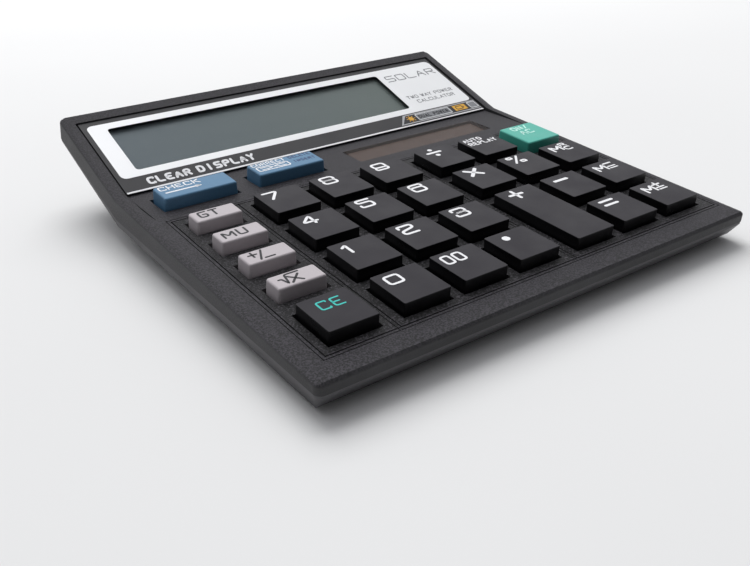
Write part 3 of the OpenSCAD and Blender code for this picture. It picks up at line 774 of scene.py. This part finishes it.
PANEL_Z = local_box("display_faceplate", HOOD)[1].z
LENS_LOW, LENS_HIGH = local_box("display_lens", HOOD)
# How far the lens passes the window at its front and sides, and at its back
LENS_OVER = 3.0
LENS_BACK = 2.2
WINDOW = (LENS_LOW.x + LENS_OVER, LENS_LOW.y + LENS_OVER, LENS_HIGH.x - LENS_OVER, LENS_HIGH.y - LENS_BACK)


def panel_text(name, text, left, back, size, stroke, ink, gap):
    """A line of text on the display panel."""
    bm = bmesh.new()
    write(bm, text, left, back, size, stroke, HOOD, PANEL_Z + INK, gap)
    mesh_object(name, bm, ink, "casing")


def panel_print(name, outlines, ink):
    """A flat printed shape on the display panel."""
    plate(name, outlines, HOOD, PANEL_Z - INK, PANEL_Z + INK, ink, "casing")


def display_print():
    """Silver frame round the window, white rule, caption and the small lines at the right."""
    frame_corners, frame_radius, window_radius = (-70.4, 7.6, 71.1, 36.9), 2.0, 1.2
    outer = rounded_outline(*frame_corners, frame_radius)
    inner = rounded_outline(*WINDOW, window_radius)
    panel_print("print_frame", [outer, inner], INK_SILVER)
    panel_print("print_rule", [rectangle(-71.8, 0.55, 71.6, 1.25)], INK_WHITE)
    # Name, text, left and back edge, size of a letter, stroke, ink, gap
    lines = [
        ("print_caption", "CLEAR DISPLAY", -63.9, 6.1, (2.6, 3.5), 0.85, INK_WHITE, 0.4),
        ("print_power", "SOLAR", 45.9, 32.2, (4.0, 4.0), 0.45, INK_GREY, 0.9),
        ("print_feature_1", "TWO WAY POWER", 46.2, 17.6, (1.5, 2.0), 0.28, INK_GREY, 0.33),
        ("print_feature_2", "CALCULATOR", 48.9, 14.4, (1.5, 2.0), 0.28, INK_GREY, 0.33),
    ]
    for line in lines:
        panel_text(*line)


def outlined(name, corners, ink, line, z):
    """Printed patch with a thin line round it."""
    radius, line_width = 0.35, 0.26
    outline = rounded_outline(*corners, radius)
    plate(name, [outline], HOOD, z, z + 2 * INK, ink, "casing")
    bm = bmesh.new()
    ribbon(bm, [Vector(p) for p in outline], line_width, True, HOOD, z, z + 3 * INK)
    mesh_object(name + "_line", bm, line, "casing")


def badge_sun(centre, z):
    """Small sun: a disc and eight short rays."""
    rays, ray_start, ray_end, ray_width, disc = 8, 1.45, 1.8, 0.35, 0.55
    bm = bmesh.new()
    for x, y in circle_outline(0, 0, 1, rays):
        ray = Vector((x, y))
        ribbon(bm, [centre + ray * ray_start, centre + ray * ray_end], ray_width, False, HOOD, z, z + 2 * INK)
    circle = [centre + Vector(p) for p in circle_outline(0, 0, disc)]
    ribbon(bm, circle, 2 * disc, True, HOOD, z, z + 2 * INK)
    mesh_object("badge_sun", bm, INK_GOLD, "casing")


def badge_marks(caption_left, cell_left, middle, z):
    """Caption and the outline of a battery cell with its terminal."""
    letter, letter_stroke, letter_gap = (1.15, 1.9), 0.3, 0.35
    cell_size, cell_corner, cell_line = (2.9, 1.8), 0.3, 0.32
    terminal_width, terminal_gap, terminal_line = 0.6, 0.6, 0.35
    bm = bmesh.new()
    caption_back = middle + letter[1] / 2
    write(bm, "DUAL POWER", caption_left, caption_back, letter, letter_stroke, HOOD, z + INK, letter_gap)
    cell_right = cell_left + cell_size[0]
    corners = rectangle(cell_left, middle - cell_size[1] / 2, cell_right, middle + cell_size[1] / 2)
    cell = rounded_path([Vector(p) for p in corners], cell_corner, True)
    ribbon(bm, cell, cell_line, True, HOOD, z, z + INK)
    terminal = [Vector((cell_right + terminal_gap, middle + side * terminal_width / 2)) for side in (-1, 1)]
    ribbon(bm, terminal, terminal_line, False, HOOD, z, z + INK)
    mesh_object("badge_marks", bm, INK_DARK, "casing")


def badge_print():
    """Dark ground on the metal strip with a sun, a boxed caption, a battery and an end patch."""
    low, high = local_box("badge_strip", HOOD)
    z = high.z
    border, left_border, right_border, inset, lean = 0.55, 1.1, 0.2, 0.35, 3.6
    front, back = low.y + border, high.y - border
    left, right = low.x + left_border, high.x - right_border
    middle = (front + back) / 2
    ground = [(left, front), (right, front), (right, back), (left + lean, back)]
    plate("badge_ground", [ground], HOOD, z - INK, z + INK, INK_DARK, "casing")
    # Name, left and right edge, ink, ink of the line round it
    patches = [
        ("badge_panel", 41.6, 57.4, INK_GREY, INK_SILVER),
        ("badge_gold", 59.2, 65.5, INK_GOLD, INK_DARK),
        ("badge_end", 66.9, 70.6, INK_GREY, INK_SILVER),
    ]
    for name, patch_left, patch_right, ink, line in patches:
        outlined(name, (patch_left, front + inset, patch_right, back - inset), ink, line, z)
    sun_x, caption_left, cell_left = 38.7, 42.4, 60.6
    badge_sun(Vector((sun_x, middle)), z)
    badge_marks(caption_left, cell_left, middle, z + 2 * INK)


display_print()
badge_print()

# ---- battery cover ----


def cover_ridges():
    """Finger ridges under the battery cover."""
    low, _ = local_box("battery_cover", SCALE)
    count, start, pitch, width, half_length = 5, 3, 1.6, 0.8, 9
    proud, sunk, corner = 0.25, 0.05, 0.35
    for i in range(count):
        front = low.y + start + i * pitch
        ridge = rounded_outline(-half_length, front, half_length, front + width, corner)
        name = "cover_ridge_" + str(i + 1)
        piece = plate(name, [ridge], SCALE, low.z - proud, low.z + sunk, BASE, "battery_cover")


cover_ridges()

# ---- studio: floor, lights and camera ----

# Directions of the sky's broad bright side and of a brighter patch high on the left
BRIGHT_SIDE = (0.4, 0.74, 0.54)
HIGH_PATCH = (-0.45, 0.3, 0.84)


def floor():
    """Sheet of pale paper, twice the reach across."""
    mesh = bpy.data.meshes.new("floor")
    reach = 6
    corners = [(x, y, 0) for x, y in rectangle(-reach, -reach, reach, reach)]
    mesh.from_pydata(corners, [], [(0, 1, 2, 3)])
    obj = bpy.data.objects.new("floor", mesh)
    bpy.context.scene.collection.objects.link(obj)
    material, tree, shader = new_material("floor_paper")
    stops = [(0.3, (0.7, 0.7, 0.7)), (0.7, (0.73, 0.73, 0.73))]
    tree.links.new(ramp(tree, noise(tree, 300, 2), stops), shader.inputs["Base Color"])
    shader.inputs["Roughness"].default_value = 0.8
    shader.inputs["Specular IOR Level"].default_value = 0.2
    mesh.materials.append(material)


def softbox(name, location, aim, size, power):
    """Square light that glossy surfaces don't mirror."""
    light = bpy.data.lights.new(name, "AREA")
    light.size = size
    light.energy = power
    obj = bpy.data.objects.new(name, light)
    bpy.context.scene.collection.objects.link(obj)
    obj.location = location
    obj.rotation_mode = "QUATERNION"
    obj.rotation_quaternion = (Vector(aim) - Vector(location)).to_track_quat("-Z", "Y")
    obj.visible_glossy = False


def studio():
    """Graded pale sky and one soft light over the back."""
    world = bpy.data.worlds.new("studio")
    bpy.context.scene.world = world
    world.use_nodes = True
    tree = world.node_tree
    background = tree.nodes["Background"]
    stops = [(0.0, (0.05, 0.05, 0.052)), (0.45, (0.14, 0.14, 0.145)), (0.75, (0.42, 0.425, 0.44)),
             (1.0, (0.98, 0.99, 1.0))]
    sky = ramp(tree, remap(tree, towards(tree, "Generated", BRIGHT_SIDE), 0, 1, -1, 1), stops)
    tree.links.new(sky, background.inputs["Color"])
    patch = remap(tree, towards(tree, "Generated", HIGH_PATCH), 1, 2, 0.6, 0.9)
    tree.links.new(patch, background.inputs["Strength"])
    softbox("overhead", location=(0.35, 0.9, 1.25), aim=(0, 0, 0), size=1.2, power=22)
    bpy.context.scene.view_settings.view_transform = "Standard"


def camera():
    """Camera at the photograph's viewing angle, left of the front of the calculator."""
    data = bpy.data.cameras.new("camera")
    data.sensor_width = 36
    data.lens = 41.8
    data.clip_start = 0.01
    obj = bpy.data.objects.new("camera", data)
    bpy.context.scene.collection.objects.link(obj)
    stand = Matrix.Translation((-0.15511, -0.20479, 0.11445))
    turn, tip, roll = math.radians(-36.19), math.radians(90 - 28.18), math.radians(-0.28)
    rotation = Matrix.Rotation(turn, 4, "Z") @ Matrix.Rotation(tip, 4, "X") @ Matrix.Rotation(roll, 4, "Z")
    obj.matrix_world = stand @ rotation
    bpy.context.scene.camera = obj


floor()
studio()
camera()
